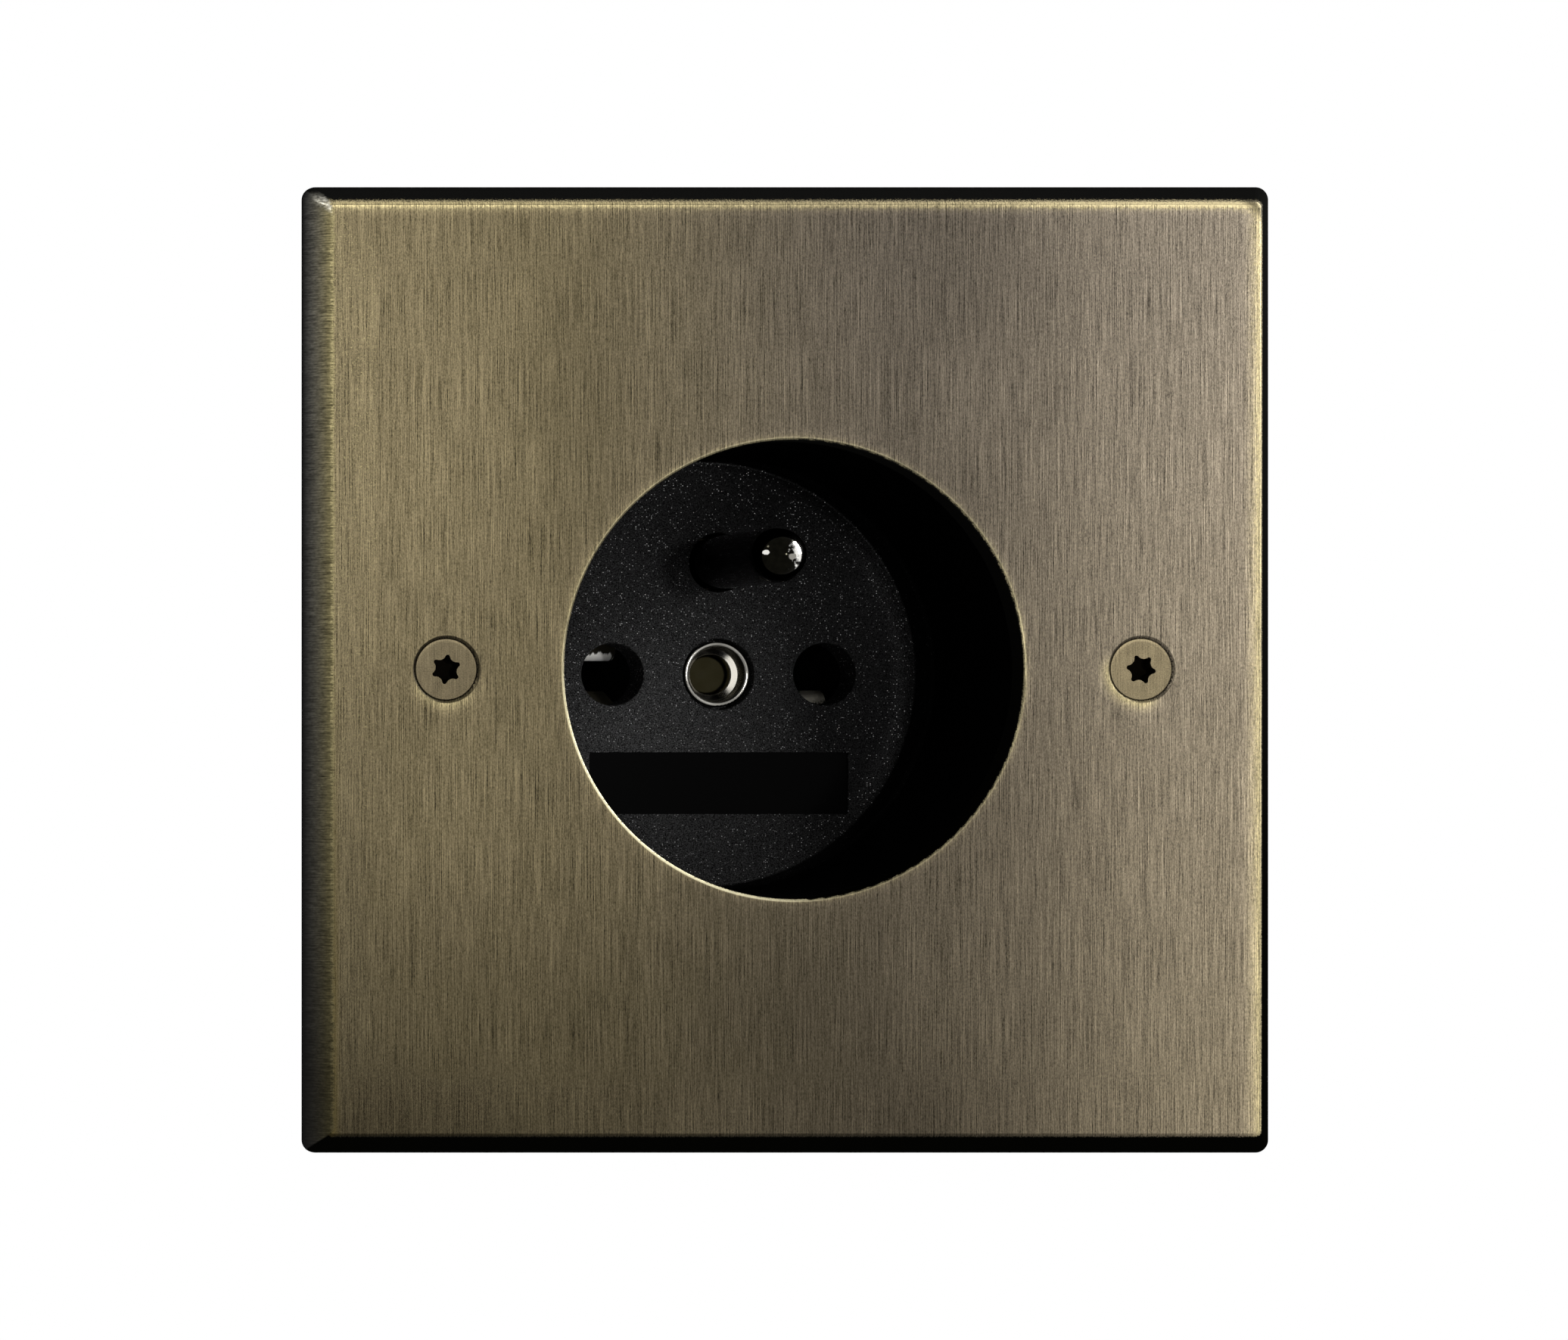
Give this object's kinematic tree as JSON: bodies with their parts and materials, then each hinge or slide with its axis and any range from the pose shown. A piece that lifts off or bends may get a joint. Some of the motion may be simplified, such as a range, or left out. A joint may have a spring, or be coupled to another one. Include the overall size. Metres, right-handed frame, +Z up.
{
  "type": "wall socket",
  "caption": "Flush wall socket: square brushed metal cover plate, round black recess with earth pin, ring frame and rear housing with terminals.",
  "frame": {"origin": "centre of the round opening, in the plane of the wall's surface, where the cover plate's back lies", "axes": "+Z up, +X to the right seen from the room, +Y from the room into the wall"},
  "size_m": [0.0838, 0.0402, 0.0838],
  "materials": {
    "patinated_brass": "brushed, dark patina",
    "black_insert": "spark-eroded texture",
    "black_housing": "satin moulded",
    "nickel_plating": "polished nickel",
    "bare_brass": "turned",
    "phosphor_bronze": "rolled strip",
    "zinc_plated_steel": "zinc plated"
  },
  "bodies": {
    "root": {"centre_bush": "nickel_plating", "centre_screw": "bare_brass", "contact_left": "phosphor_bronze", "contact_right": "phosphor_bronze", "cover_plate": "patinated_brass", "earth_pin": "nickel_plating", "earth_strap": "phosphor_bronze", "joining_screw_lower_left": "zinc_plated_steel", "joining_screw_lower_right": "zinc_plated_steel", "joining_screw_upper_left": "zinc_plated_steel", "joining_screw_upper_right": "zinc_plated_steel", "plate_screw_left": "patinated_brass", "plate_screw_right": "patinated_brass", "rear_housing": "black_housing", "socket_insert": "black_insert", "standoff_left": "zinc_plated_steel", "standoff_right": "zinc_plated_steel", "support_ring": "zinc_plated_steel", "terminal_cage_earth": "bare_brass", "terminal_cage_left": "bare_brass", "terminal_cage_right": "bare_brass", "terminal_screw_earth": "zinc_plated_steel", "terminal_screw_left": "zinc_plated_steel", "terminal_screw_right": "zinc_plated_steel"}
  },
  "joints": []
}
